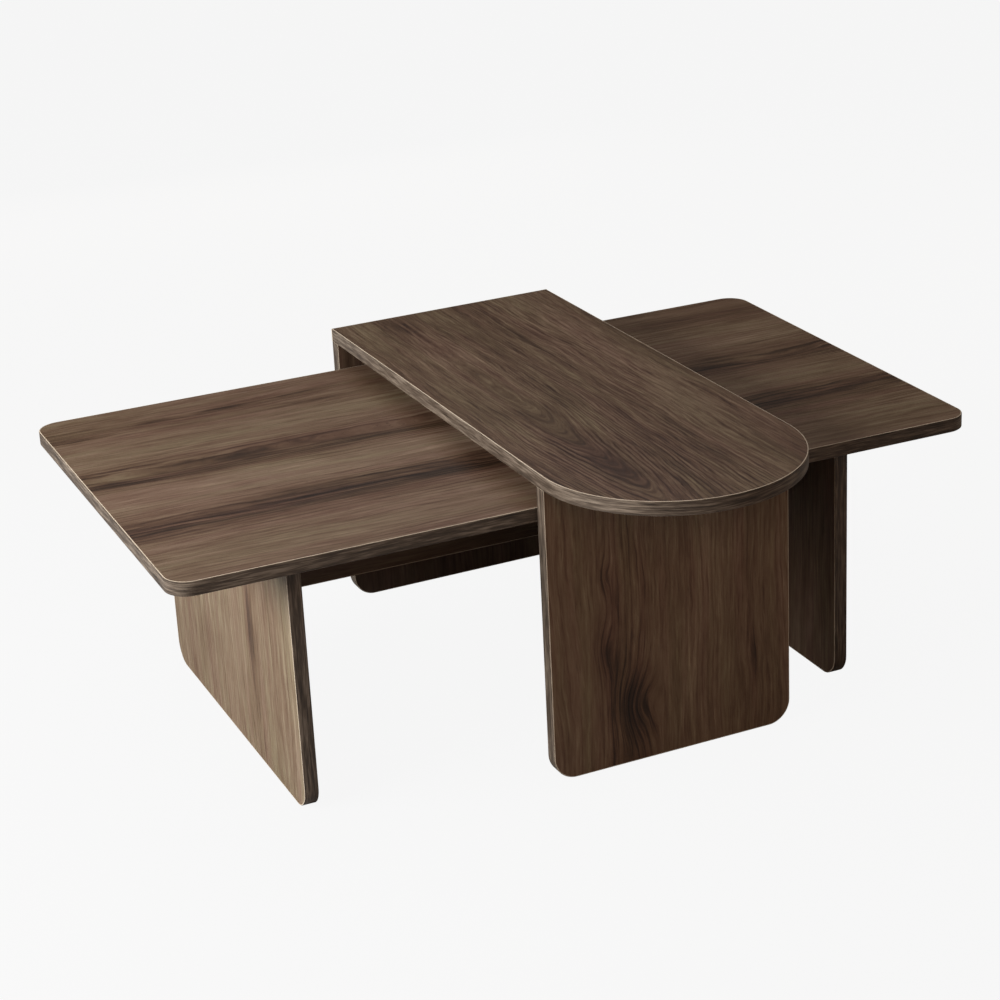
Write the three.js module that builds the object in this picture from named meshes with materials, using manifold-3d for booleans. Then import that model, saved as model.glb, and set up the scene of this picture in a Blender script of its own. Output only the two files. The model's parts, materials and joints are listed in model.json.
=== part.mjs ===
// A pair of nesting coffee tables in 18 mm walnut-pattern board: a low, long table with rounded
// corners, and a taller, narrow table with one round end, which stands astride the low one and
// slides along it.
//
// Units are millimetres. +X runs along the low table, +Y to its back and +Z up. The origin is on
// the floor under the middle of the whole pair. Every board is a laminated panel with a separate
// plastic edge band round its open edges. Hidden knock-down fittings join the boards: a cam lock,
// its bolt, a wooden dowel and a cover cap.

import * as THREE from "three";
import { mergeVertices } from "three/addons/utils/BufferGeometryUtils.js";
import Module from "manifold-3d";

const wasm = await Module();
wasm.setup();

// --- Driving dimensions ----------------------------------------------------------------------

const BOARD = 18; // thickness of every board
const BAND = 1.5; // thickness of the edge band
const ARRIS = 1.1; // how much of the band's corners is scraped off
const CORNER = 30; // radius of the low top's corners and of the corners at every leg's foot
const GLUE = 0.1; // gap between a band and its panel, and between a board and the one it meets
const FIT = 0.3; // clearance of a fitting in its hole

const LOW = { length: 1050, depth: 600, height: 350, legInset: 150, legWidth: 500, stretcher: 150 };
const TALL = { width: 330, length: 825, height: 398 };
const TALL_PLACE = { x: 78.5, y: 7.75, turn: THREE.MathUtils.degToRad(0.93) }; // over the low table

const CAM = { radius: 7.5, depth: 12.5, sunk: 0.4, fromEdge: 34, driveRadius: 3.2, driveDepth: 3 };
const BOLT = { head: 3.3, neck: 2, shank: 3.4, thread: 3, root: 2.3, grip: 11, pitch: 3.6 };
const DOWEL = { radius: 4, length: 30, grip: 10, chamfer: 1 };
const CAP = { radius: 9, thick: 1.3, stem: 2.5, stemLength: 2 };
const CAM_FROM_SIDE = 65; // from a leg's side to its cam lock
const HOLE_STEP = 32; // drilling pitch, from a cam lock's bolt to the dowel beside it

const CORNER_STEPS = 6; // straight steps in a quarter round
const ROUND_END_STEPS = 32; // straight steps in the tall top's half round
const FITTING_SIDES = 12; // sides of a round fitting and of its hole
const PAST = 10; // how far a cutter runs past what it cuts

// --- Materials -------------------------------------------------------------------------------

function material(color, roughness, metalness = 0) {
  return new THREE.MeshStandardMaterial({ color, roughness, metalness });
}

const walnutBoard = material(0x5c4636, 0.5);
const walnutBand = material(0x7a6656, 0.45);
const camMetal = material(0x9a9a98, 0.4, 1);
const boltMetal = material(0xb9b6ae, 0.3, 1);
const dowelWood = material(0xc9a878, 0.8);
const capPlastic = material(0x4a382c, 0.5);

// --- Solids ----------------------------------------------------------------------------------

function toSolid(geometry) {
  const bare = geometry.clone();
  bare.deleteAttribute("normal");
  bare.deleteAttribute("uv");
  const merged = mergeVertices(bare, 1e-4);
  const vertProperties = merged.attributes.position.array;
  const triVerts = new Uint32Array(merged.index.array);
  return new wasm.Manifold(new wasm.Mesh({ numProp: 3, vertProperties, triVerts }));
}

function toGeometry(solid) {
  const mesh = solid.getMesh();
  const geometry = new THREE.BufferGeometry();
  geometry.setAttribute("position", new THREE.BufferAttribute(new Float32Array(mesh.vertProperties), 3));
  geometry.setIndex(new THREE.BufferAttribute(new Uint32Array(mesh.triVerts), 1));
  geometry.computeVertexNormals();
  return geometry;
}

function cut(geometry, cutters) {
  let solid = toSolid(geometry);
  for (const cutter of cutters) solid = solid.subtract(toSolid(cutter));
  return toGeometry(solid);
}

function named(name, geometry, mat) {
  const mesh = new THREE.Mesh(geometry, mat);
  mesh.name = name;
  return mesh;
}

// The placement that stands a shape's own Y axis along `direction`, with its origin at `from`.
function along(from, direction) {
  const turn = new THREE.Quaternion().setFromUnitVectors(new THREE.Vector3(0, 1, 0), direction);
  return new THREE.Matrix4().compose(from, turn, new THREE.Vector3(1, 1, 1));
}

// A round bar, or the cutter of a round hole, from one point to another.
function bar(from, to, radius) {
  const span = new THREE.Vector3().subVectors(to, from);
  const middle = new THREE.Vector3().addVectors(from, to).multiplyScalar(0.5);
  const geometry = new THREE.CylinderGeometry(radius, radius, span.length(), FITTING_SIDES);
  return geometry.applyMatrix4(along(middle, span.normalize()));
}

// A turned piece, whose profile is [radius, distance along the axis] pairs that end on the axis.
function turned(profile, from, direction) {
  const points = profile.map(([radius, distance]) => new THREE.Vector2(radius, distance));
  return new THREE.LatheGeometry(points, FITTING_SIDES).applyMatrix4(along(from, direction));
}

function rectangle(left, right, low, high) {
  return new THREE.Shape([
    new THREE.Vector2(left, low),
    new THREE.Vector2(right, low),
    new THREE.Vector2(right, high),
    new THREE.Vector2(left, high),
  ]);
}

function slab(shape, thickness = BOARD, from = 0) {
  const geometry = new THREE.ExtrudeGeometry(shape, { depth: thickness, bevelEnabled: false });
  return geometry.translate(0, 0, from);
}

// A cutter that runs past both faces of a board.
function through(shape) {
  return slab(shape, BOARD + 2 * PAST, -PAST);
}

// A board-thick slab with its arrises scraped off, which edge bands are cut from.
function scraped(shape) {
  const bevel = { bevelThickness: ARRIS, bevelSize: ARRIS, bevelOffset: -ARRIS, bevelSegments: 1 };
  const geometry = new THREE.ExtrudeGeometry(shape, { depth: BOARD - 2 * ARRIS, ...bevel });
  return geometry.translate(0, 0, ARRIS);
}

// A straight band of `length` along +X from the origin, with its outer face at y = 0, its inner
// face at y = BAND and its two arrises at z = 0 and z = BOARD.
function straightBand(length) {
  const section = new THREE.Shape([
    new THREE.Vector2(-BOARD, BAND),
    new THREE.Vector2(-BOARD, ARRIS),
    new THREE.Vector2(ARRIS - BOARD, 0),
    new THREE.Vector2(-ARRIS, 0),
    new THREE.Vector2(0, ARRIS),
    new THREE.Vector2(0, BAND),
  ]);
  return slab(section, length).rotateY(Math.PI / 2);
}

// --- Outlines --------------------------------------------------------------------------------

// Adds a quarter round, anticlockwise from the angle `start`. A panel and its band both use it.
function addQuarter(points, x, y, radius, start, steps = CORNER_STEPS) {
  for (let i = 0; i <= steps; i++) {
    const angle = start + (i / steps) * (Math.PI / 2);
    points.push(new THREE.Vector2(x + radius * Math.cos(angle), y + radius * Math.sin(angle)));
  }
}

// The low top, centred, and pulled in by `inset` all round.
function lowTopOutline(inset) {
  const x = LOW.length / 2 - CORNER;
  const y = LOW.depth / 2 - CORNER;
  const points = [];
  addQuarter(points, x, y, CORNER - inset, 0);
  addQuarter(points, -x, y, CORNER - inset, Math.PI / 2);
  addQuarter(points, -x, -y, CORNER - inset, Math.PI);
  addQuarter(points, x, -y, CORNER - inset, 1.5 * Math.PI);
  return new THREE.Shape(points);
}

// Half the straight part of the tall top: the round end's centre is at y = -TALL_HALF, and so is
// the front leg's outer face.
const TALL_HALF = (TALL.length - TALL.width / 2) / 2;

// The tall top, square at the back and half round in front. It is pulled in by `inset` at its
// sides and round its end, and by `back` at the back.
function tallTopOutline(inset, back = inset) {
  const radius = TALL.width / 2 - inset;
  const end = TALL_HALF - back;
  const points = [new THREE.Vector2(radius, end), new THREE.Vector2(-radius, end)];
  addQuarter(points, 0, -TALL_HALF, radius, Math.PI, ROUND_END_STEPS / 2);
  points.pop();
  addQuarter(points, 0, -TALL_HALF, radius, 1.5 * Math.PI, ROUND_END_STEPS / 2);
  return new THREE.Shape(points);
}

// A leg, from the floor up to `height`, pulled in by `inset` at its sides and its foot.
function legOutline(width, height, inset) {
  const side = width / 2 - inset;
  const x = width / 2 - CORNER;
  const points = [new THREE.Vector2(side, height), new THREE.Vector2(-side, height)];
  addQuarter(points, -x, CORNER, CORNER - inset, Math.PI);
  addQuarter(points, x, CORNER, CORNER - inset, 1.5 * Math.PI);
  return new THREE.Shape(points);
}

// --- Fittings --------------------------------------------------------------------------------
//
// A fitting has `at`, the point where its axis crosses the joint, `out`, the direction from the
// board that holds it to the board that it grips, and `face`, the direction out of the face that
// a cam lock is let into. A dowel's `isDowel` is true, and any other fitting is a cam lock.

function onAxis(fitting, distance) {
  return fitting.at.clone().addScaledVector(fitting.out, distance);
}

function inCam(fitting, height) {
  return onAxis(fitting, -CAM.fromEdge).addScaledVector(fitting.face, height);
}

const CAM_TOP = BOARD / 2 - CAM.sunk;
const CAM_BOTTOM = CAM_TOP - CAM.depth;

function camLock(fitting) {
  const reach = BOLT.head + FIT;
  const back = onAxis(fitting, -CAM.fromEdge - reach);
  const mouth = onAxis(fitting, CAM.radius - CAM.fromEdge + 1);
  const drive = bar(inCam(fitting, CAM_TOP - CAM.driveDepth), inCam(fitting, CAM_TOP + 1), CAM.driveRadius);
  const body = bar(inCam(fitting, CAM_BOTTOM), inCam(fitting, CAM_TOP), CAM.radius);
  return cut(body, [bar(back, mouth, reach), drive]);
}

function camBolt(fitting) {
  const tip = CAM.fromEdge + BOLT.grip;
  const profile = [
    [0, -BOLT.head],
    [BOLT.head * 0.75, -BOLT.head * 0.66],
    [BOLT.head, 0],
    [BOLT.neck, BOLT.head * 0.8],
    [BOLT.neck, BOLT.head * 2],
    [BOLT.shank, BOLT.head * 2.4],
    [BOLT.shank, CAM.fromEdge - FIT],
  ];
  for (let ring = CAM.fromEdge; ring < tip - BOLT.pitch; ring += BOLT.pitch)
    profile.push([BOLT.root, ring], [BOLT.thread, ring + BOLT.pitch / 2]);
  profile.push([BOLT.root, tip], [0, tip]);
  return turned(profile, inCam(fitting, 0), fitting.out);
}

function dowel(fitting) {
  const { radius, length, grip, chamfer } = DOWEL;
  const profile = [
    [0, 0],
    [radius - chamfer, 0],
    [radius, chamfer],
    [radius, length - chamfer],
    [radius - chamfer, length],
    [0, length],
  ];
  return turned(profile, onAxis(fitting, grip - length), fitting.out);
}

function coverCap(fitting) {
  const profile = [
    [0, -CAP.stemLength],
    [CAP.stem, -CAP.stemLength],
    [CAP.stem, 0],
    [CAP.radius, 0],
    [CAP.radius, CAP.thick * 0.4],
    [CAP.radius * 0.9, CAP.thick],
    [0, CAP.thick],
  ];
  return turned(profile, inCam(fitting, BOARD / 2 + GLUE), fitting.face);
}

// The holes that a fitting needs in the board that holds it.
function heldHoles(fitting) {
  if (fitting.isDowel) {
    const end = onAxis(fitting, DOWEL.grip - DOWEL.length - FIT);
    return [bar(end, onAxis(fitting, 1), DOWEL.radius + FIT)];
  }
  return [
    bar(inCam(fitting, CAM_BOTTOM - FIT), inCam(fitting, CAM_TOP + 1), CAM.radius + FIT),
    bar(inCam(fitting, 0), onAxis(fitting, 1), BOLT.shank + FIT),
  ];
}

// The hole that a fitting needs in the board that it grips, seen from that board's own frame.
function grippedHole(fitting, frame) {
  const piece = fitting.isDowel ? DOWEL : BOLT;
  const radius = fitting.isDowel ? DOWEL.radius : BOLT.thread;
  const hole = bar(onAxis(fitting, -1), onAxis(fitting, piece.grip + FIT), radius + FIT);
  return hole.applyMatrix4(frame.clone().invert());
}

function moved(fitting, frame) {
  return {
    at: fitting.at.clone().applyMatrix4(frame),
    out: fitting.out.clone().transformDirection(frame),
    face: fitting.face.clone().transformDirection(frame),
    isDowel: fitting.isDowel,
  };
}

// The meshes of a board's fittings, numbered within that board.
function fittingMeshes(board, fittings) {
  const meshes = [];
  fittings
    .filter((fitting) => fitting.isDowel)
    .forEach((fitting, i) => meshes.push(named(`${board}_dowel_${i + 1}`, dowel(fitting), dowelWood)));
  fittings
    .filter((fitting) => !fitting.isDowel)
    .forEach((fitting, i) => {
      meshes.push(named(`${board}_cam_lock_${i + 1}`, camLock(fitting), camMetal));
      meshes.push(named(`${board}_cam_bolt_${i + 1}`, camBolt(fitting), boltMetal));
      meshes.push(named(`${board}_cover_cap_${i + 1}`, coverCap(fitting), capPlastic));
    });
  return meshes;
}

// --- Boards ----------------------------------------------------------------------------------
//
// Each board is made in a frame of its own and then placed: its outline is in x and y, and its
// thickness runs from z = 0 to z = BOARD.

// A board's group, placed by its frame, with its meshes and its fittings' meshes in it.
function placed(board, frame, meshes, fittings = []) {
  const group = new THREE.Group();
  group.applyMatrix4(frame);
  group.add(...meshes, ...fittingMeshes(board, fittings));
  return group;
}

// A leg's frame has x across the leg, y up from the floor and z out of the leg's outer face.
// `heading` is the way that the outer face looks, turned anticlockwise from -Y.
function legFrame(x, y, heading) {
  const turn = new THREE.Euler(Math.PI / 2, 0, heading, "ZYX");
  return new THREE.Matrix4().makeRotationFromEuler(turn).setPosition(x, y, 0);
}

// Two cam locks and two dowels in the leg's upper edge.
function legFittings(width, height) {
  const out = new THREE.Vector3(0, 1, 0);
  const face = new THREE.Vector3(0, 0, -1);
  const cam = width / 2 - CAM_FROM_SIDE;
  const fittings = [];
  for (const side of [-1, 1]) {
    for (const isDowel of [false, true]) {
      const x = side * (isDowel ? cam - HOLE_STEP : cam);
      fittings.push({ at: new THREE.Vector3(x, height, BOARD / 2), out, face, isDowel });
    }
  }
  return fittings;
}

function leg(board, width, height, frame, visitors = []) {
  const own = legFittings(width, height);
  const holes = [...own.flatMap(heldHoles), ...visitors.map((fitting) => grippedHole(fitting, frame))];
  const top = height - GLUE;
  const panel = cut(slab(legOutline(width, top, BAND + GLUE)), holes);
  const band = cut(scraped(legOutline(width, height + PAST, 0)), [
    through(legOutline(width, height + 2 * PAST, BAND)),
    through(rectangle(-width, width, top, height + 2 * PAST)),
  ]);
  const meshes = [
    named(`${board}_panel`, panel, walnutBoard),
    named(`${board}_edge_band`, band, walnutBand),
  ];
  return {
    group: placed(board, frame, meshes, own),
    fittings: own.map((fitting) => moved(fitting, frame)),
  };
}

// The stretcher joins the low legs. Its frame has x along it, y up and z out of its front face.
const STRETCHER_HALF = LOW.length / 2 - LOW.legInset - BOARD - GLUE;

// A cam lock between two dowels at each end, let into the back face.
function stretcherFittings() {
  const face = new THREE.Vector3(0, 0, -1);
  const fittings = [];
  for (const side of [-1, 1]) {
    const out = new THREE.Vector3(side, 0, 0);
    for (const row of [0, -1.5, 1.5]) {
      const y = LOW.stretcher / 2 + row * HOLE_STEP;
      const at = new THREE.Vector3(side * STRETCHER_HALF, y, BOARD / 2);
      fittings.push({ at, out, face, isDowel: row !== 0 });
    }
  }
  return fittings;
}

function stretcher() {
  const frame = new THREE.Matrix4().makeRotationX(Math.PI / 2);
  frame.setPosition(0, BOARD / 2, LOW.height - BOARD - LOW.stretcher);
  const own = stretcherFittings();
  const outline = rectangle(-STRETCHER_HALF, STRETCHER_HALF, BAND + GLUE, LOW.stretcher - GLUE);
  const panel = cut(slab(outline), own.flatMap(heldHoles));
  const band = straightBand(2 * STRETCHER_HALF).translate(-STRETCHER_HALF, 0, 0);
  const meshes = [
    named("low_stretcher_panel", panel, walnutBoard),
    named("low_stretcher_edge_band", band, walnutBand),
  ];
  return {
    group: placed("low_stretcher", frame, meshes, own),
    fittings: own.map((fitting) => moved(fitting, frame)),
  };
}

function lowTop(visitors) {
  const frame = new THREE.Matrix4().makeTranslation(0, 0, LOW.height - BOARD);
  const holes = visitors.map((fitting) => grippedHole(fitting, frame));
  const panel = cut(slab(lowTopOutline(BAND + GLUE)), holes);
  const band = cut(scraped(lowTopOutline(0)), [through(lowTopOutline(BAND))]);
  return placed("low_top", frame, [
    named("low_top_panel", panel, walnutBoard),
    named("low_top_edge_band", band, walnutBand),
  ]);
}

// The tall top has two bands: one along its sides and round its end, and one across its back.
function tallTop(visitors) {
  const frame = new THREE.Matrix4().makeTranslation(0, 0, TALL.height - BOARD);
  const holes = visitors.map((fitting) => grippedHole(fitting, frame));
  const panel = cut(slab(tallTopOutline(BAND + GLUE)), holes);
  const back = TALL_HALF - BAND - GLUE;
  const longBand = cut(scraped(tallTopOutline(0, -PAST)), [
    through(tallTopOutline(BAND, -2 * PAST)),
    through(rectangle(-TALL.width, TALL.width, back, back + 3 * PAST)),
  ]);
  const backBand = straightBand(TALL.width).rotateX(Math.PI).translate(-TALL.width / 2, TALL_HALF, BOARD);
  return placed("tall_top", frame, [
    named("tall_top_panel", panel, walnutBoard),
    named("tall_top_long_edge_band", longBand, walnutBand),
    named("tall_top_back_edge_band", backBand, walnutBand),
  ]);
}

// --- The two tables --------------------------------------------------------------------------

function lowTable() {
  const beam = stretcher();
  const innerFace = LOW.length / 2 - LOW.legInset - BOARD;
  const legs = [-1, 1].map((side) => {
    const board = side < 0 ? "low_left_leg" : "low_right_leg";
    const visitors = beam.fittings.filter((fitting) => fitting.out.x * side > 0);
    const frame = legFrame(side * innerFace, 0, (side * Math.PI) / 2);
    return leg(board, LOW.legWidth, LOW.height - BOARD, frame, visitors);
  });
  const table = new THREE.Group();
  table.add(lowTop(legs.flatMap((made) => made.fittings)), beam.group);
  table.add(...legs.map((made) => made.group));
  return table;
}

function tallTable() {
  const innerFace = TALL_HALF - BOARD;
  const height = TALL.height - BOARD;
  const legs = [
    leg("tall_front_leg", TALL.width, height, legFrame(0, -innerFace, 0)),
    leg("tall_rear_leg", TALL.width, height, legFrame(0, innerFace, Math.PI)),
  ];
  const table = new THREE.Group();
  table.add(tallTop(legs.flatMap((made) => made.fittings)));
  table.add(...legs.map((made) => made.group));
  table.position.set(TALL_PLACE.x, TALL_PLACE.y, 0);
  table.rotation.z = TALL_PLACE.turn;
  return table;
}

const tables = new THREE.Group();
tables.add(lowTable(), tallTable());

// The pair is moved so that the middle of its footprint is over the origin.
const footprint = new THREE.Box3().setFromObject(tables, true).getCenter(new THREE.Vector3());
tables.position.set(-footprint.x, -footprint.y, 0);

export default tables;
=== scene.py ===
"""The looks of a pair of nesting coffee tables in dark walnut-print board.

Everything is in metres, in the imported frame: +X along the low table, +Y to its back and +Z up.
Each board is two pieces, a panel and its edge band, made here in the board's own frame and then
placed: a board's frame has x and y across its face, and z through its thickness.
"""

import json
import math

import bmesh
import bpy
from mathutils import Matrix, Vector


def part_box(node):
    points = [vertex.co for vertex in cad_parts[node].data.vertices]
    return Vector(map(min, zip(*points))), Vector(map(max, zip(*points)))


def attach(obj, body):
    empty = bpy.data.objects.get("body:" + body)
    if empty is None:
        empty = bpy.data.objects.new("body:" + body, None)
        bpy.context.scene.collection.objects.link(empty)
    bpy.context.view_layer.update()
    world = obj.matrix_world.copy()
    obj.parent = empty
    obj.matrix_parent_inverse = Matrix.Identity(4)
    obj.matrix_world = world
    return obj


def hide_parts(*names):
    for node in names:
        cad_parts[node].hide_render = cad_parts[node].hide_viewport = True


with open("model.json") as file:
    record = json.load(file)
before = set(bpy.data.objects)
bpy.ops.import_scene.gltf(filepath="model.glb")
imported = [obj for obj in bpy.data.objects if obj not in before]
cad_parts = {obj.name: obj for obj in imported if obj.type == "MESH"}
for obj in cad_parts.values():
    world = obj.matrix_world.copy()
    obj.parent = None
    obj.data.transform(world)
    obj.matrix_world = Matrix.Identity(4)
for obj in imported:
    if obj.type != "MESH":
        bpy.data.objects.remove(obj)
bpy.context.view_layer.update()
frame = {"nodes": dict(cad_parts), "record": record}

# --- Sizes, read from the frame --------------------------------------------------------------------

MOUNTS = {mount["name"]: Vector(mount["pos_m"]) for mount in frame["record"]["mounts"]}
NODES = frame["nodes"]


def box_size(node):
    low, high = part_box(node)
    return high - low


def box_centre(node):
    low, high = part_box(node)
    return (low + high) / 2


BOARD = box_size("low_top_edge_band").z
BAND = box_size("low_stretcher_edge_band").z
GLUE = 0.0001  # gap between a band and its panel, and between a leg and its top
ARRIS = 0.0011  # how far a band's corners are scraped round
SOFT = 0.0003  # from the end of a scraped corner to the flat of the band
PALE_DEPTH = 0.15 * ARRIS  # how far down its corners a band's pale core shows
CORNER = 0.030  # radius of the low top's corners and of the legs' feet

LOW_LENGTH, LOW_DEPTH, _ = box_size("low_top_edge_band")
LOW_CENTRE = Vector((*box_centre("low_top_edge_band").xy, 0))
LOW_HEIGHT = MOUNTS["low_top_surface"].z
LOW_LEG_WIDTH = box_size("low_left_leg_edge_band").y

# The tall table's own frame: its centre is midway between its legs, and its turn is theirs.
TALL_FRONT = MOUNTS["tall_front_foot"]
TALL_REAR = MOUNTS["tall_rear_foot"]
TALL_TURN = math.atan2(TALL_FRONT.x - TALL_REAR.x, TALL_REAR.y - TALL_FRONT.y)
TALL_FRAME = Matrix.Translation((TALL_FRONT + TALL_REAR) / 2) @ Matrix.Rotation(TALL_TURN, 4, "Z")
TALL_HEIGHT = MOUNTS["tall_top_surface"].z
TALL_HALF = ((TALL_FRONT - TALL_REAR).length + BOARD) / 2
TALL_SIDE = box_size("tall_rear_leg_edge_band").x - BOARD * math.sin(TALL_TURN)
TALL_WIDTH = TALL_SIDE / math.cos(TALL_TURN)

CAM_HOLE_RADIUS = 0.0078
CAM_HOLE_PAST = 0.004  # how much longer than its cam lock a cam's hole is cut
HOLE_SLACK = 0.0003  # clearance of a bolt or a dowel in its hole

CAP_RADIUS = 0.009
CAP_DEPTH = 0.0033  # from the crown to the end of the stem
CAP_CROWN = 0.0013  # how far the cap stands out of the board
CAP_FLAT = 0.0008  # height of the cap's side with its round rim
CAP_RIM = 0.0005  # radius of the rim
CAP_STEM_RADIUS = 0.0025

QUARTER_STEPS = 20
ROUND_END_STEPS = 96
ARRIS_STEPS = 5
HOLE_SIDES = 40
CAP_SIDES = 48
RIM_STEPS = 4
CROWN_STEPS = 6

X, Y, Z = Vector((1, 0, 0)), Vector((0, 1, 0)), Vector((0, 0, 1))

# --- Shader nodes ----------------------------------------------------------------------------------


class Shader:
    """A material, and short calls that add nodes to it and return their outputs."""

    def __init__(self, name):
        self.material = bpy.data.materials.new(name)
        self.material.use_nodes = True
        self.tree = self.material.node_tree
        self.surface = self.tree.nodes["Principled BSDF"]

    def node(self, kind, inputs=(), **settings):
        node = self.tree.nodes.new(kind)
        for key, value in settings.items():
            setattr(node, key, value)
        for key, value in dict(inputs).items():
            self.feed(node.inputs[key], value)
        return node

    def feed(self, socket, value):
        if isinstance(value, bpy.types.NodeSocket):
            self.tree.links.new(value, socket)
        else:
            socket.default_value = value

    def math(self, operation, *values, clamp=False):
        inputs = dict(enumerate(values))
        node = self.node("ShaderNodeMath", inputs, operation=operation, use_clamp=clamp)
        return node.outputs[0]

    def vector(self, operation, *values):
        node = self.node("ShaderNodeVectorMath", dict(enumerate(values)), operation=operation)
        return node.outputs["Value" if operation == "DOT_PRODUCT" else "Vector"]

    def split(self, place):
        """A vector's X, Y and Z outputs, by name."""
        return self.node("ShaderNodeSeparateXYZ", {0: place}).outputs

    def grain_uv(self):
        """The board's grain coordinates, in metres: along the grain, and across it."""
        return self.node("ShaderNodeUVMap", uv_map="grain").outputs[0]

    def streaks(self, place, along, across, detail=2.0, roughness=0.5):
        """Noise from about -1 to 1 whose features are `along` by `across` metres."""
        scaled = self.vector("MULTIPLY", place, (1 / along, 1 / across, 1))
        inputs = {"Vector": scaled, "Scale": 1.0, "Detail": detail, "Roughness": roughness}
        noise = self.node("ShaderNodeTexNoise", inputs, noise_dimensions="3D")
        return self.math("MULTIPLY", self.math("SUBTRACT", noise.outputs[0], 0.5), 3.0)

    def weighted(self, start, *terms):
        """start plus each (value, weight) pair's product."""
        total = start
        for value, weight in terms:
            total = self.math("MULTIPLY_ADD", value, weight, total)
        return total

    def clamped(self, value):
        return self.math("MULTIPLY", value, 1.0, clamp=True)

    def falloff(self, value):
        """1 where the value is 0, falling off smoothly on both sides."""
        squared = self.math("MULTIPLY", value, value)
        return self.math("EXPONENT", self.math("MULTIPLY", squared, -1.0))

    def bell(self, place, centre, reach):
        """1 at `centre`, falling off smoothly over `reach` metres along and across."""
        offset = self.vector("SUBTRACT", place, (*centre, 0))
        scaled = self.vector("MULTIPLY", offset, (1 / reach[0], 1 / reach[1], 0))
        squared = self.vector("DOT_PRODUCT", scaled, scaled)
        return self.math("EXPONENT", self.math("MULTIPLY", squared, -1.0))

    def lens(self, place, centre, reach):
        """Like bell, but its contours run out to a point at both ends."""
        offset = self.vector("SUBTRACT", place, (*centre, 0))
        scaled = self.vector("MULTIPLY", offset, (1 / reach[0], 1 / reach[1], 0))
        parts = self.split(scaled)
        along = self.math("SQRT", self.math("MULTIPLY_ADD", parts["X"], parts["X"], 0.02))
        total = self.math("MULTIPLY_ADD", parts["Y"], parts["Y"], along)
        return self.math("EXPONENT", self.math("MULTIPLY", total, -1.0))

    def ramp(self, value, stops):
        node = self.node("ShaderNodeValToRGB", {"Fac": value})
        ends = node.color_ramp.elements
        while len(ends) < len(stops):
            ends.new(1.0)
        for end, (position, color) in zip(ends, stops):
            end.position = position
            end.color = (*color, 1)
        return node.outputs[0]

    def shade(self, value, stops):
        """A ramp of plain grey values."""
        return self.ramp(value, [(position, (grey, grey, grey)) for position, grey in stops])

    def mix(self, factor, a, b, blend="MIX"):
        node = self.node("ShaderNodeMix", data_type="RGBA", blend_type=blend)
        self.feed(node.inputs["Factor"], factor)
        self.feed(node.inputs["A"], a if isinstance(a, bpy.types.NodeSocket) else (*a, 1))
        self.feed(node.inputs["B"], b if isinstance(b, bpy.types.NodeSocket) else (*b, 1))
        return node.outputs["Result"]

    def bump(self, height, distance, strength=1.0):
        inputs = {"Height": height, "Distance": distance, "Strength": strength}
        self.feed(self.surface.inputs["Normal"], self.node("ShaderNodeBump", inputs).outputs[0])


# --- Walnut print ------------------------------------------------------------------------------------

# The print's colours, from its darkest streaks to its palest ground.
WALNUT = [
    (0.00, (0.010, 0.0065, 0.005)),
    (0.25, (0.034, 0.021, 0.0145)),
    (0.50, (0.088, 0.056, 0.038)),
    (0.75, (0.155, 0.104, 0.072)),
    (1.00, (0.260, 0.185, 0.132)),
]
PURPLE_TINT = (1.05, 0.95, 0.98)
OLIVE_TINT = (0.98, 1.01, 0.92)
DARK_TINT = (1.05, 0.95, 0.90)
PALE_TINT = (0.96, 1.04, 1.04)
PORE = (0.02, 0.013, 0.009)

# The edge band's print is greyer.
BAND_PRINT = [
    (0.00, (0.012, 0.009, 0.007)),
    (0.50, (0.065, 0.048, 0.0355)),
    (1.00, (0.185, 0.148, 0.1145)),
]

# One growth ring, from its pale early wood to its dark line.
RING = [(0.0, 0.0), (0.50, 0.0), (0.80, 1.0), (1.0, 0.0)]

# How the growth rings wander: (length, width, shift).
WANDERS = [(0.70, 0.20, 0.016), (0.13, 0.035, 0.0038), (0.045, 0.012, 0.0014)]

# The streaks along the grain: (length, width, detail, roughness, weight).
STREAKS = [
    (0.20, 0.012, 4.0, 0.62, 0.11),
    (0.065, 0.0042, 3.0, 0.60, 0.13),
    (0.030, 0.0018, 2.0, 0.60, 0.09),
]


def growth_field(s, place, uv, cathedral, eyes, knots):
    """The place across the growth rings, whose contour lines flow round every eye and knot."""
    parts = s.split(place)
    wanders = [(s.streaks(place, length, width), shift) for length, width, shift in WANDERS]
    field = s.weighted(parts["Y"], *wanders)
    if cathedral:
        along, across, tip, slope, reach = cathedral
        aside = s.math("SUBTRACT", field, across)
        squared = s.math("MULTIPLY", aside, aside)
        fade = s.math("EXPONENT", s.math("DIVIDE", squared, -reach * reach))
        ahead = s.math("SMOOTH_MAX", s.math("SUBTRACT", parts["X"], along), -0.40, 0.12)
        field = s.math("SQRT", s.math("ADD", squared, tip * tip))
        field = s.weighted(field, (s.math("MULTIPLY", ahead, fade), slope))
    for along, across, length, width, lift in eyes:
        field = s.weighted(field, (s.lens(uv, (along, across), (length, width)), lift))
    for along, across, length, width, _ in knots:
        field = s.weighted(field, (s.bell(uv, (along, across), (length, width)), 0.6 * width))
    return field


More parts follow.
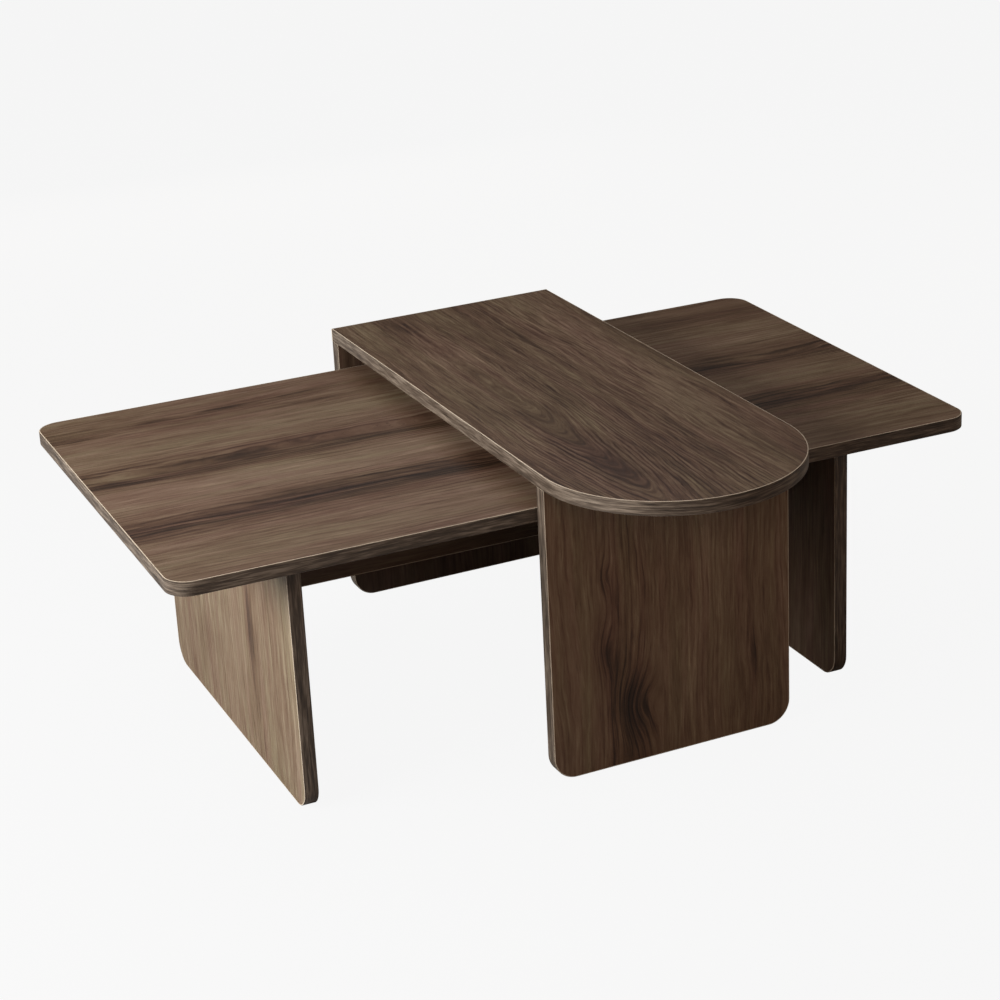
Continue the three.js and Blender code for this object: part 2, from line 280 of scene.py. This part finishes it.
def darkness(s, uv, bent, field, bands, loops, patches):
    """How dark the figure is. `bent` is the grain's place, bent to follow the growth rings."""
    dark = s.math("MULTIPLY_ADD", s.streaks(bent, 1.1, 0.034, 3.0), 0.55, -0.10, clamp=True)
    for across, half, strength in bands:
        band = s.falloff(s.math("DIVIDE", s.math("SUBTRACT", field, across), half))
        patchy = s.math("MULTIPLY_ADD", s.streaks(bent, 0.15, 0.011, 4.0), 0.95, 0.70, clamp=True)
        split = s.math("MULTIPLY_ADD", s.streaks(bent, 0.10, 0.0032, 3.0, 0.65), 0.75, 0.95)
        patchy = s.math("MULTIPLY", patchy, split)
        dark = s.weighted(dark, (s.math("MULTIPLY", band, patchy), strength))
    for along, across, length, width, strength in patches:
        dark = s.weighted(dark, (s.bell(uv, (along, across), (length, width)), strength))
    for along, across, length, width, strength in loops:
        level = s.lens(bent, (along, across), (length, width))
        line = s.falloff(s.math("MULTIPLY", s.math("SUBTRACT", level, 0.35), 11.0))
        broken = s.math("MULTIPLY_ADD", s.streaks(bent, 0.06, 0.004, 3.0, 0.65), 1.2, 1.0)
        dark = s.weighted(dark, (s.math("MULTIPLY", line, broken), 1.4 * strength))
    return dark


def ring_strength(s, place, uv, dark, cathedral, eyes):
    """How plainly the growth rings show."""
    strength = s.weighted(0.28, (s.streaks(place, 0.45, 0.07), 0.5), (dark, 0.6))
    for along, across, length, width, _ in eyes:
        near = s.bell(uv, (along, across), (length * 1.4, width * 1.4))
        strength = s.weighted(strength, (near, 0.6))
    if cathedral:
        along, across, tip, _, reach = cathedral
        middle = (along - 0.18, across)
        near = s.bell(uv, middle, (0.22, reach))
        heart = s.bell(uv, middle, (0.40, tip * 1.8))
        strength = s.weighted(strength, (near, 0.8), (heart, -1.0))
    return s.clamped(strength)


def walnut(
    name, seed, tone=0.55, contrast=1.0, spacing=0.008, cast=(1, 1, 1),
    bands=(), cathedral=None, eyes=(), loops=(), knots=(), stains=(),
):
    """Walnut-print melamine. Every place and size is in metres, along and across the grain.

    bands: (across, half width, strength) of long dark bands.
    cathedral: (along, across, tip radius, slope, reach) of nested V's that point along the grain.
    eyes: (along, across, half length, half width, lift) of the long loops of a flat-sawn board.
    loops: (along, across, half length, half width, strength) of dark, pointed outlines.
    knots: (along, across, half length, half width, strength) of dark knots.
    stains: the same, of patches that leave the rings straight; a negative strength is a pale one.
    """
    s = Shader(name)
    uv = s.grain_uv()
    place = s.vector("ADD", uv, (0, 0, seed * 3.7))
    field = growth_field(s, place, uv, cathedral, eyes, knots)
    parts = s.split(place)
    flow = {0: parts["X"], 1: field, 2: parts["Z"]}
    bent = s.node("ShaderNodeCombineXYZ", flow).outputs[0]

    dark = darkness(s, uv, bent, field, bands, loops, [*knots, *stains])
    ring = s.weighted(s.math("DIVIDE", field, spacing), (s.streaks(bent, 0.50, 0.030), 0.8))
    ring = s.shade(s.math("FRACT", ring), RING)
    shown = s.math("MULTIPLY", ring, ring_strength(s, place, uv, dark, cathedral, eyes))
    fibre = s.streaks(bent, 0.06, 0.0011, 2.0, 0.6)
    streaks = [(s.streaks(bent, *shape), weight * contrast) for *shape, weight in STREAKS]
    value = s.weighted(
        tone,
        (s.streaks(place, 0.9, 0.08), 0.08 * contrast),
        *streaks,
        (fibre, 0.06 * contrast),
        (shown, -0.19 * contrast),
        (dark, -0.36),
    )
    tint = s.weighted(0.5, (s.streaks(bent, 0.30, 0.018), 0.7), (s.streaks(place, 0.3, 0.07), 0.5))
    tint = s.mix(s.clamped(tint), OLIVE_TINT, PURPLE_TINT)
    color = s.mix(1.0, s.ramp(value, WALNUT), tint, "MULTIPLY")
    lift = s.math("MULTIPLY_ADD", value, 3.0, 0.68 - 3.0 * tone, clamp=True)
    color = s.mix(1.0, color, s.mix(lift, DARK_TINT, PALE_TINT), "MULTIPLY")
    color = s.mix(1.0, color, cast, "MULTIPLY")

    dashes = s.math("MULTIPLY_ADD", s.streaks(bent, 0.022, 0.0011, 1.0), 2.2, -0.9, clamp=True)
    color = s.mix(s.math("MULTIPLY", dashes, 0.44), color, PORE)
    pores = s.math("GREATER_THAN", s.streaks(bent, 0.007, 0.00045, 1.0), 0.62)
    color = s.mix(s.math("MULTIPLY", pores, 0.35), color, PORE)
    s.feed(s.surface.inputs["Base Color"], color)
    rough = s.weighted(0.50, (fibre, 0.03), (pores, 0.10), (ring, 0.03))
    s.feed(s.surface.inputs["Roughness"], rough)
    s.surface.inputs["Specular IOR Level"].default_value = 0.35
    height = s.weighted(s.math("MULTIPLY", pores, -1.0), (fibre, 0.25))
    s.bump(height, 0.00006, 0.5)
    return s.material


def walnut_band(name, seed, tone=0.55):
    """The edge band's straight-grained print."""
    s = Shader(name)
    place = s.vector("ADD", s.grain_uv(), (0, 0, seed * 5.3))
    wander = s.math("MULTIPLY", s.streaks(place, 0.06, 0.02), 0.0012)
    waved = s.vector("ADD", place, s.node("ShaderNodeCombineXYZ", {1: wander}).outputs[0])
    fibre = s.streaks(waved, 0.05, 0.0007, 2.0)
    value = s.weighted(
        tone,
        (s.streaks(waved, 0.06, 0.0042, 3.0, 0.6), 0.46),
        (s.streaks(waved, 0.024, 0.0013, 2.0), 0.46),
        (s.streaks(place, 0.30, 0.5), 0.08),
        (fibre, 0.08),
    )
    s.feed(s.surface.inputs["Base Color"], s.ramp(value, BAND_PRINT))
    s.feed(s.surface.inputs["Roughness"], s.weighted(0.45, (fibre, 0.04)))
    s.surface.inputs["Specular IOR Level"].default_value = 0.4
    s.bump(fibre, 0.00004, 0.4)
    return s.material


# --- Other materials -------------------------------------------------------------------------------


def plain(name, color, roughness, metallic=0.0, mottle=0.08, grain=0.004, relief=0.00003):
    """A mottled, faintly pitted surface of one colour, patterned in the piece's own space."""
    s = Shader(name)
    place = s.node("ShaderNodeTexCoord").outputs["Object"]
    cloud = s.streaks(place, grain * 4, grain * 4, 3.0)
    speck = s.streaks(place, grain * 0.25, grain * 0.25, 2.0)
    darker = tuple(channel * (1 - 2 * mottle) for channel in color)
    lighter = tuple(channel * (1 + 2 * mottle) for channel in color)
    spread = s.weighted(0.5, (cloud, 0.35), (speck, 0.2))
    s.feed(s.surface.inputs["Base Color"], s.ramp(spread, [(0.0, darker), (1.0, lighter)]))
    s.feed(s.surface.inputs["Roughness"], s.weighted(roughness, (cloud, 0.05), (speck, 0.03)))
    s.surface.inputs["Metallic"].default_value = metallic
    s.bump(speck, relief, 0.6)
    return s.material


def chipboard():
    """The pressed chips of a board's core, which show only on its cut edges and in its holes."""
    s = Shader("chipboard")
    place = s.node("ShaderNodeTexCoord").outputs["Object"]
    chips = s.node("ShaderNodeTexVoronoi", {"Vector": place, "Scale": 420.0})
    shade = s.node("ShaderNodeSeparateColor", {0: chips.outputs["Color"]}).outputs[0]
    stops = [(0.0, (0.30, 0.19, 0.10)), (0.5, (0.48, 0.33, 0.19)), (1.0, (0.62, 0.46, 0.29))]
    s.feed(s.surface.inputs["Base Color"], s.ramp(shade, stops))
    s.surface.inputs["Roughness"].default_value = 0.9
    s.bump(chips.outputs["Distance"], 0.0002, 0.6)
    return s.material


CORE = plain("band_core", (0.42, 0.35, 0.27), 0.60, mottle=0.12, grain=0.006)
CHIPBOARD = chipboard()

# --- Outlines --------------------------------------------------------------------------------------
#
# Each outline is a list of (x, y) points in a board's frame, pulled in by `inset`.


def arc(x, y, radius, start, steps, sweep=math.pi / 2):
    angles = [start + sweep * i / steps for i in range(steps + 1)]
    return [(x + radius * math.cos(a), y + radius * math.sin(a)) for a in angles]


def low_top_outline(inset):
    x, y, radius = LOW_LENGTH / 2 - CORNER, LOW_DEPTH / 2 - CORNER, CORNER - inset
    corners = [(x, y), (-x, y), (-x, -y), (x, -y)]
    points = []
    for turn, corner in enumerate(corners):
        points += arc(*corner, radius, turn * math.pi / 2, QUARTER_STEPS)
    return points


def tall_top_outline(inset, back=None):
    """Round the tall top from its back right corner, past its round end, to its back left one."""
    radius = TALL_WIDTH / 2 - inset
    end = TALL_HALF - (inset if back is None else back)
    rounded = arc(0, -TALL_HALF, radius, 0, ROUND_END_STEPS, -math.pi)
    return [(radius, end), *rounded, (-radius, end)]


def leg_outline(width, height, inset):
    """Down a leg's right side, along its foot and up its left side."""
    side, x, radius = width / 2 - inset, width / 2 - CORNER, CORNER - inset
    right = arc(x, CORNER, radius, 0, QUARTER_STEPS, -math.pi / 2)
    left = arc(-x, CORNER, radius, -math.pi / 2, QUARTER_STEPS, -math.pi / 2)
    return [(side, height), *right, *left, (-side, height)]


def stretcher_outline(half, height, inset):
    return [(half, inset), (half, height), (-half, height), (-half, inset)]


# --- Panels and bands ------------------------------------------------------------------------------


def new_piece(name, mesh, materials, body):
    """Puts a mesh in the scene on its body, in place of the CAD node of its name."""
    piece = bpy.data.objects.new(name, mesh)
    bpy.context.scene.collection.objects.link(piece)
    for material in materials:
        mesh.materials.append(material)
    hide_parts(name)
    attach(piece, body)
    return piece


def finished_mesh(name, mesh):
    """Closes a bmesh into a mesh whose faces point outwards."""
    bmesh.ops.recalc_face_normals(mesh, faces=mesh.faces)
    made = bpy.data.meshes.new(name)
    mesh.to_mesh(made)
    mesh.free()
    return made


def cutter_mesh(to_board, table):
    """The holes for a table's fittings, seen from one board."""
    mesh = bmesh.new()
    for node in NODES:
        is_cam = "cam_lock" in node
        if not node.startswith(table) or not (is_cam or "cam_bolt" in node or "dowel" in node):
            continue
        size = box_size(node)
        pick = min if is_cam else max
        axis = pick(range(3), key=lambda i: size[i])
        length = size[axis] + (CAM_HOLE_PAST if is_cam else 2 * HOLE_SLACK)
        radius = CAM_HOLE_RADIUS if is_cam else min(size) / 2 + HOLE_SLACK
        direction = (X, Y, Z)[axis]
        stand = direction.to_track_quat("Z", "Y").to_matrix().to_4x4()
        place = to_board @ Matrix.Translation(box_centre(node)) @ stand
        bmesh.ops.create_cone(
            mesh, cap_ends=True, segments=HOLE_SIDES, radius1=radius, radius2=radius,
            depth=length, matrix=place,
        )
    made = bpy.data.meshes.new("cutter")
    mesh.to_mesh(made)
    mesh.free()
    return made


def drilled(solid, cutter_data):
    """A solid mesh with the cutter's holes in it."""
    blank = bpy.data.objects.new("blank", solid)
    cutter = bpy.data.objects.new("cutter", cutter_data)
    for item in (blank, cutter):
        bpy.context.scene.collection.objects.link(item)
    boolean = blank.modifiers.new("holes", "BOOLEAN")
    boolean.operation = "DIFFERENCE"
    boolean.solver = "EXACT"
    boolean.use_self = True
    boolean.object = cutter
    evaluated = blank.evaluated_get(bpy.context.evaluated_depsgraph_get())
    made = bpy.data.meshes.new_from_object(evaluated)
    for item in (blank, cutter):
        bpy.data.objects.remove(item)
    return made


BACK_FACE_SHIFT = 3.0  # the back face's print comes from this much further along


def lay_grain(mesh, along, across):
    """Writes each face corner's place along and across the grain, from the board's own frame."""
    grain = mesh.uv_layers.new(name="grain")
    for face in mesh.polygons:
        shift = 0.0 if face.normal.z > -0.5 else BACK_FACE_SHIFT
        for corner in face.loop_indices:
            co = mesh.vertices[mesh.loops[corner].vertex_index].co
            grain.data[corner].uv = (co.dot(along) + shift, co.dot(across))


def make_panel(name, outline, place, body, print_material, along, across):
    """A board without its band: both faces printed, and chipboard on its rim and in its holes."""
    mesh = bmesh.new()
    lower = [mesh.verts.new((x, y, 0)) for x, y in outline]
    upper = [mesh.verts.new((x, y, BOARD)) for x, y in outline]
    mesh.faces.new(lower)
    mesh.faces.new(upper)
    for i in range(len(outline)):
        j = (i + 1) % len(outline)
        mesh.faces.new((lower[i], lower[j], upper[j], upper[i]))
    table = name.split("_")[0]
    panel = drilled(finished_mesh(name, mesh), cutter_mesh(place.inverted(), table))
    for face in panel.polygons:
        face.material_index = 0 if abs(face.normal.z) > 0.9 else 1
    lay_grain(panel, along, across)
    panel.transform(place)
    panel.name = name
    return new_piece(name, panel, [print_material, CHIPBOARD], body)


def band_profile():
    """(inset, height) round the band's section, from its inner lower corner outwards and up."""
    angles = [math.pi / 2 * i / ARRIS_STEPS for i in range(ARRIS_STEPS + 1)]
    lower = [(ARRIS * (1 - math.sin(a)), ARRIS * (1 - math.cos(a))) for a in angles]
    upper = [(inset, BOARD - height) for inset, height in reversed(lower)]
    flat = [(0, ARRIS + SOFT), (0, BOARD - ARRIS - SOFT)]
    return [(BAND, 0), *lower, *flat, *upper, (BAND, BOARD)]


def make_band(name, outline_at, closed, place, body, print_material, start=0.0):
    """An edge band swept round an outline. outline_at(inset) gives the outline's points."""
    profile = band_profile()
    rings = [outline_at(inset) for inset, _ in profile]
    count = len(rings[0])
    lengths = [start]
    outer = outline_at(0)
    for a, b in zip(outer, [*outer[1:], outer[0]]):
        lengths.append(lengths[-1] + math.dist(a, b))
    mesh = bmesh.new()
    grain = mesh.loops.layers.uv.new("grain")
    verts = [
        [mesh.verts.new((x, y, height)) for x, y in ring]
        for ring, (_, height) in zip(rings, profile)
    ]
    for k in range(len(profile)):
        k2 = (k + 1) % len(profile)
        middle = (profile[k][1] + profile[k2][1]) / 2
        is_pale = min(middle, BOARD - middle) < PALE_DEPTH
        for i in range(count if closed else count - 1):
            j = (i + 1) % count
            corners = (
                (verts[k][i], lengths[i], profile[k][1]),
                (verts[k][j], lengths[i + 1], profile[k][1]),
                (verts[k2][j], lengths[i + 1], profile[k2][1]),
                (verts[k2][i], lengths[i], profile[k2][1]),
            )
            face = mesh.faces.new([corner[0] for corner in corners])
            face.material_index = int(is_pale)
            face.smooth = True
            for loop, (_, along, up) in zip(face.loops, corners):
                loop[grain].uv = (along, up)
    if not closed:
        for i in (0, -1):
            mesh.faces.new([row[i] for row in verts]).material_index = 1
    made = finished_mesh(name, mesh)
    made.set_sharp_from_angle(angle=math.radians(35))
    made.transform(place)
    return new_piece(name, made, [print_material, CORE], body)


# --- Prints ----------------------------------------------------------------------------------------

LOW_TOP_PRINT = {
    "tone": 0.605,
    "contrast": 1.4,
    "spacing": 0.009,
    "cast": (1.0, 0.99, 0.96),
    "bands": [(0.048, 0.034, 0.50), (-0.125, 0.034, 0.52), (0.240, 0.026, 0.30)],
    "eyes": [
        (-0.45, 0.045, 0.30, 0.022, 0.020),
        (-0.08, 0.040, 0.25, 0.022, 0.020),
        (0.00, -0.125, 0.30, 0.024, 0.022),
        (0.45, 0.020, 0.30, 0.024, 0.030),
    ],
    "loops": [
        (-0.46, 0.060, 0.165, 0.016, 0.35),
        (-0.40, 0.058, 0.230, 0.028, 0.30),
        (0.10, 0.050, 0.220, 0.014, 0.30),
        (0.05, -0.115, 0.205, 0.012, 0.38),
        (0.05, -0.115, 0.290, 0.022, 0.30),
        (0.05, -0.115, 0.430, 0.032, 0.22),
        (-0.42, -0.110, 0.140, 0.010, 0.25),
    ],
    "stains": [
        (-0.284, 0.234, 0.030, 0.006, 0.6),
        (-0.380, 0.233, 0.025, 0.006, 0.45),
        (-0.500, 0.215, 0.030, 0.007, 0.4),
        (-0.165, 0.200, 0.040, 0.008, 0.4),
        (-0.320, 0.054, 0.045, 0.006, 0.5),
        (-0.490, 0.035, 0.030, 0.008, 0.4),
        (-0.300, 0.155, 0.500, 0.035, -0.25),
        (-0.250, -0.035, 0.500, 0.035, -0.30),
        (-0.300, -0.260, 0.500, 0.040, -0.12),
        (-0.100, -0.127, 0.070, 0.016, 0.5),
        (0.420, 0.220, 0.140, 0.045, 0.30),
        (0.420, 0.035, 0.130, 0.040, 0.15),
        (0.480, -0.135, 0.120, 0.040, 0.15),
    ],
}

LOW_LEFT_LEG_PRINT = {
    "tone": 0.69,
    "contrast": 1.5,
    "cast": (0.99, 1.06, 1.02),
    "bands": [(0.088, 0.018, 0.32)],
    "knots": [(0.180, 0.090, 0.060, 0.010, 0.8)],
    "stains": [
        (0.085, -0.107, 0.060, 0.020, 0.35),
        (0.240, 0.165, 0.020, 0.005, 0.3),
        (0.150, 0.240, 0.500, 0.040, -0.2),
    ],
}

# Painted shade: the right leg's print tone is set darker than the left leg's, for the shade its inner
# face lies in under the low top.
LOW_RIGHT_LEG_PRINT_PAINTED_SHADE = {"tone": 0.49, "contrast": 1.3}

TALL_TOP_PRINT = {
    "tone": 0.515,
    "contrast": 1.8,
    "spacing": 0.0058,
    "cast": (1.0, 0.97, 0.92),
    "bands": [(0.062, 0.030, 0.15)],
    "cathedral": (0.47, 0.074, 0.010, 0.12, 0.080),
    "stains": [
        (0.260, 0.074, 0.150, 0.014, 0.32),
        (-0.280, 0.085, 0.050, 0.022, 0.4),
        (0.000, 0.130, 0.600, 0.030, -0.20),
        (-0.100, -0.040, 0.250, 0.004, 0.3),
    ],
}

TALL_FRONT_LEG_PRINT = {
    "tone": 0.665,
    "contrast": 1.5,
    "cast": (1.02, 0.97, 0.86),
    "bands": [(-0.068, 0.036, 0.40), (0.113, 0.014, 0.25)],
    "knots": [
        (0.156, -0.093, 0.030, 0.013, 0.5),
        (0.256, -0.089, 0.022, 0.009, 0.4),
        (0.075, -0.052, 0.042, 0.026, 0.8),
    ],
    "stains": [
        (0.020, -0.050, 0.050, 0.025, 0.4),
        (0.120, -0.075, 0.055, 0.022, 0.3),
        (0.096, 0.113, 0.040, 0.006, 0.6),
        (0.100, 0.023, 0.120, 0.0015, -0.4),
    ],
}

# Painted shade: the rear leg's print tone is set darker than the front leg's, for the shade it stands
# in under the low top.
TALL_REAR_LEG_PRINT_PAINTED_SHADE = {"tone": 0.45}

# --- Boards ----------------------------------------------------------------------------------------


def leg_frame(x, y, heading):
    turn = Matrix.Rotation(heading, 4, "Z") @ Matrix.Rotation(math.pi / 2, 4, "X")
    return Matrix.Translation((x, y, 0)) @ turn


def make_leg(board, body, width, height, place, seed, looks):
    face = walnut(board + "_print", seed, **looks)
    edge = walnut_band(board + "_band_print", seed)
    outline = leg_outline(width, height - GLUE, BAND + GLUE)
    make_panel(board + "_panel", outline, place, body, face, Y, X)
    make_band(
        board + "_edge_band",
        lambda inset: leg_outline(width, height - GLUE, inset),
        False, place, body, edge, seed,
    )


def make_low_top(place):
    face = walnut("low_top_print", 1, **LOW_TOP_PRINT)
    edge = walnut_band("low_top_band_print", 1, tone=0.50)
    outline = low_top_outline(BAND + GLUE)
    make_panel("low_top_panel", outline, place, "low_table", face, X, Y)
    make_band("low_top_edge_band", low_top_outline, True, place, "low_table", edge)


def make_low_legs(at):
    """The two legs, each with its outer face looking away from the table's middle."""
    height = LOW_HEIGHT - BOARD
    left_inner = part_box("low_left_leg_panel")[1].x - LOW_CENTRE.x
    right_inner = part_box("low_right_leg_panel")[0].x - LOW_CENTRE.x
    left = at @ leg_frame(left_inner, 0, -math.pi / 2)
    right = at @ leg_frame(right_inner, 0, math.pi / 2)
    make_leg("low_left_leg", "low_table", LOW_LEG_WIDTH, height, left, 1, LOW_LEFT_LEG_PRINT)
    make_leg("low_right_leg", "low_table", LOW_LEG_WIDTH, height, right, 3, LOW_RIGHT_LEG_PRINT_PAINTED_SHADE)


def make_stretcher(at):
    low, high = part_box("low_stretcher_panel")
    half = (high.x - low.x) / 2
    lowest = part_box("low_stretcher_edge_band")[0].z
    place = at @ Matrix.Translation((0, BOARD / 2, lowest)) @ Matrix.Rotation(math.pi / 2, 4, "X")
    outline = stretcher_outline(half, high.z - lowest, BAND + GLUE)
    face = walnut("low_stretcher_print", 5)
    edge = walnut_band("low_stretcher_band_print", 5)
    make_panel("low_stretcher_panel", outline, place, "low_table", face, X, Y)
    make_band(
        "low_stretcher_edge_band",
        lambda inset: [(-half, inset), (half, inset)],
        False, place, "low_table", edge,
    )


def make_tall_top(place):
    """The tall top, with one band along its sides and round its end, and one across its back."""
    face = walnut("tall_top_print", 11, **TALL_TOP_PRINT)
    edge = walnut_band("tall_top_band_print", 11)
    half = TALL_WIDTH / 2
    make_panel(
        "tall_top_panel", tall_top_outline(BAND + GLUE), place, "tall_table", face, -Y, -X,
    )
    make_band(
        "tall_top_long_edge_band",
        lambda inset: tall_top_outline(inset, BAND + GLUE),
        False, place, "tall_table", edge,
    )
    make_band(
        "tall_top_back_edge_band",
        lambda inset: [(-half, TALL_HALF - inset), (half, TALL_HALF - inset)],
        False, place, "tall_table", edge, 2.0,
    )


def make_tall_legs():
    height = TALL_HEIGHT - BOARD
    inner = TALL_HALF - BOARD
    front = TALL_FRAME @ leg_frame(0, -inner, 0)
    rear = TALL_FRAME @ leg_frame(0, inner, math.pi)
    make_leg("tall_front_leg", "tall_table", TALL_WIDTH, height, front, 7, TALL_FRONT_LEG_PRINT)
    make_leg("tall_rear_leg", "tall_table", TALL_WIDTH, height, rear, 8, TALL_REAR_LEG_PRINT_PAINTED_SHADE)


# --- Fittings --------------------------------------------------------------------------------------


def cap_profile():
    """(radius, height) from the stem's end, under and round the cap, to the crown's middle."""
    stem = CAP_DEPTH - CAP_CROWN
    shoulder = stem + CAP_FLAT
    inner = CAP_RADIUS - CAP_RIM
    profile = [(0.0, 0.0), (CAP_STEM_RADIUS, 0.0), (CAP_STEM_RADIUS, stem), (CAP_RADIUS, stem)]
    for i in range(RIM_STEPS + 1):
        angle = math.pi / 2 * i / RIM_STEPS
        rim = shoulder - CAP_RIM + CAP_RIM * math.sin(angle)
        profile.append((inner + CAP_RIM * math.cos(angle), rim))
    for i in range(1, CROWN_STEPS + 1):
        share = i / CROWN_STEPS
        rise = (CAP_CROWN - CAP_FLAT) * math.sin(share * math.pi / 2)
        profile.append((inner * (1 - share), shoulder + rise))
    return profile


def turned(name, profile):
    """A mesh turned about Z, from a profile that starts and ends on the axis."""
    mesh = bmesh.new()
    rings = []
    for radius, height in profile:
        sides = CAP_SIDES if radius > 0 else 1
        angles = [2 * math.pi * i / CAP_SIDES for i in range(sides)]
        points = [(radius * math.cos(a), radius * math.sin(a), height) for a in angles]
        rings.append([mesh.verts.new(point) for point in points])
    for a, b in zip(rings, rings[1:]):
        for i in range(CAP_SIDES):
            j = (i + 1) % CAP_SIDES
            corners = [a[i % len(a)], a[j % len(a)], b[j % len(b)], b[i % len(b)]]
            face = mesh.faces.new(list(dict.fromkeys(corners)))
            face.smooth = True
    made = finished_mesh(name, mesh)
    made.set_sharp_from_angle(angle=math.radians(40))
    return made


def make_cap(node, body, material):
    """A thin domed cover cap with a round rim and a stem, over its cam lock."""
    size, centre = box_size(node), box_centre(node)
    lock = box_centre(node.replace("cover_cap", "cam_lock"))
    thin = min(range(3), key=lambda i: size[i])
    direction = Vector((0, 0, 0))
    direction[thin] = math.copysign(1, centre[thin] - lock[thin])
    if body == "tall_table":
        direction = (TALL_FRAME.to_3x3() @ direction).normalized()
    turn = direction.to_track_quat("Z", "Y").to_matrix().to_4x4()
    cap = turned(node, cap_profile())
    cap.transform(Matrix.Translation(centre - direction * CAP_DEPTH / 2) @ turn)
    new_piece(node, cap, [material], body)


def dress_fittings():
    """Gives the locks, bolts and dowels their materials, and makes the caps."""
    looks = {
        "cam_lock": plain("cam_metal", (0.52, 0.52, 0.50), 0.45, 1.0, 0.10, 0.002),
        "cam_bolt": plain("bolt_metal", (0.62, 0.59, 0.50), 0.28, 1.0, 0.05, 0.002),
        "dowel": plain("dowel_wood", (0.60, 0.42, 0.24), 0.75, 0.0, 0.12, 0.002),
    }
    caps = plain("cap_plastic", (0.060, 0.040, 0.029), 0.50, 0.0, 0.10, 0.001)
    for body, nodes in frame["record"]["behaviour"]["bodies"].items():
        for node in nodes:
            for word, material in looks.items():
                if word in node:
                    NODES[node].data.materials.clear()
                    NODES[node].data.materials.append(material)
            if "cover_cap" in node:
                make_cap(node, body, caps)


# --- Floor, lights and camera ----------------------------------------------------------------------

PALE = 0.932  # the floor and the background as the camera sees them
FLOOR_SIZE = 60
FLOOR_DROP = 0.0003  # keeps the floor clear of the feet's lower edges
WARM = (1.0, 0.85, 0.7)


def make_floor():
    """A pale floor. It looks even from the camera, and reflects less light than it shows."""
    place = LOW_CENTRE - Vector((0, 0, FLOOR_DROP))
    bpy.ops.mesh.primitive_plane_add(size=FLOOR_SIZE, location=place)
    floor = bpy.context.object
    floor.name = "floor"
    s = Shader("floor")
    s.tree.nodes.remove(s.surface)
    output = next(node for node in s.tree.nodes if node.type == "OUTPUT_MATERIAL")
    seen = s.node("ShaderNodeEmission", {"Color": (PALE, PALE, PALE, 1), "Strength": 1.0})
    shadow = s.node("ShaderNodeBsdfDiffuse", {"Color": (0.8, 0.8, 0.8, 1)})
    pale = s.node("ShaderNodeMixShader", {0: 0.02, 1: seen.outputs[0], 2: shadow.outputs[0]})
    bounce = s.node("ShaderNodeBsdfDiffuse", {"Color": (0.26, 0.255, 0.25, 1)})
    path = s.node("ShaderNodeLightPath")
    both = s.node(
        "ShaderNodeMixShader",
        {0: path.outputs["Is Camera Ray"], 1: bounce.outputs[0], 2: pale.outputs[0]},
    )
    s.feed(output.inputs["Surface"], both.outputs[0])
    floor.data.materials.append(s.material)


def make_world():
    """A pale background that gives only a little warm light."""
    world = bpy.data.worlds.new("studio")
    bpy.context.scene.world = world
    world.use_nodes = True
    tree = world.node_tree
    background = tree.nodes["Background"]
    output = tree.nodes["World Output"]
    background.inputs["Color"].default_value = (*WARM, 1)
    background.inputs["Strength"].default_value = 0.05
    seen = tree.nodes.new("ShaderNodeBackground")
    seen.inputs["Color"].default_value = (PALE, PALE, PALE, 1)
    path = tree.nodes.new("ShaderNodeLightPath")
    mix = tree.nodes.new("ShaderNodeMixShader")
    tree.links.new(path.outputs["Is Camera Ray"], mix.inputs[0])
    tree.links.new(background.outputs[0], mix.inputs[1])
    tree.links.new(seen.outputs[0], mix.inputs[2])
    tree.links.new(mix.outputs[0], output.inputs["Surface"])


def make_light(name, place, aim, size, power, color=(1, 1, 1), glare=True):
    """An area light. Without glare it lights a surface and leaves no highlight on it."""
    data = bpy.data.lights.new(name, "AREA")
    data.shape = "RECTANGLE"
    data.size, data.size_y = size
    data.energy = power
    data.color = color
    light = bpy.data.objects.new(name, data)
    light.visible_camera = False
    light.visible_glossy = glare
    bpy.context.scene.collection.objects.link(light)
    light.location = LOW_CENTRE + Vector(place)
    direction = LOW_CENTRE + Vector(aim) - light.location
    light.rotation_euler = direction.to_track_quat("-Z", "Y").to_euler()


def make_camera():
    """A view from the front left, a little above."""
    data = bpy.data.cameras.new("camera")
    data.sensor_width = 36.0
    data.lens = 89.77
    camera = bpy.data.objects.new("camera", data)
    bpy.context.scene.collection.objects.link(camera)
    yaw, pitch, roll = (math.radians(angle) for angle in (23.188, -21.736, -2.936))
    camera.matrix_world = (
        Matrix.Translation(LOW_CENTRE + Vector((-1.18158, -2.76743, 1.43952)))
        @ Matrix.Rotation(-yaw, 4, "Z")
        @ Matrix.Rotation(math.pi / 2 + pitch, 4, "X")
        @ Matrix.Rotation(roll, 4, "Z")
    )
    bpy.context.scene.camera = camera


make_camera()
make_floor()
make_world()
make_light("key", (-2.3, -0.25, 1.1), (0, 0, 0.3), (1.8, 0.8), 119, glare=False)
make_light("overhead", (-0.2, 0.5, 2.0), (-0.1, 0, 0.3), (2.2, 1.6), 18.2)
make_light("front_fill", (-0.6, -3.0, 1.7), (0, 0, 0.2), (2.2, 1.4), 15, (1.0, 0.60, 0.36))
make_light("right_fill", (2.6, 0.2, 0.6), (0, 0, 0.2), (2.0, 0.6), 24, WARM, glare=False)
make_light("back_fill", (0.3, 2.8, 0.6), (0, 0, 0.2), (2.0, 0.6), 16, WARM, glare=False)

low_frame = Matrix.Translation(LOW_CENTRE)
make_low_top(low_frame @ Matrix.Translation((0, 0, LOW_HEIGHT - BOARD)))
make_low_legs(low_frame)
make_stretcher(low_frame)
make_tall_top(TALL_FRAME @ Matrix.Translation((0, 0, TALL_HEIGHT - BOARD)))
make_tall_legs()
dress_fittings()
bpy.context.scene.view_settings.view_transform = "Standard"
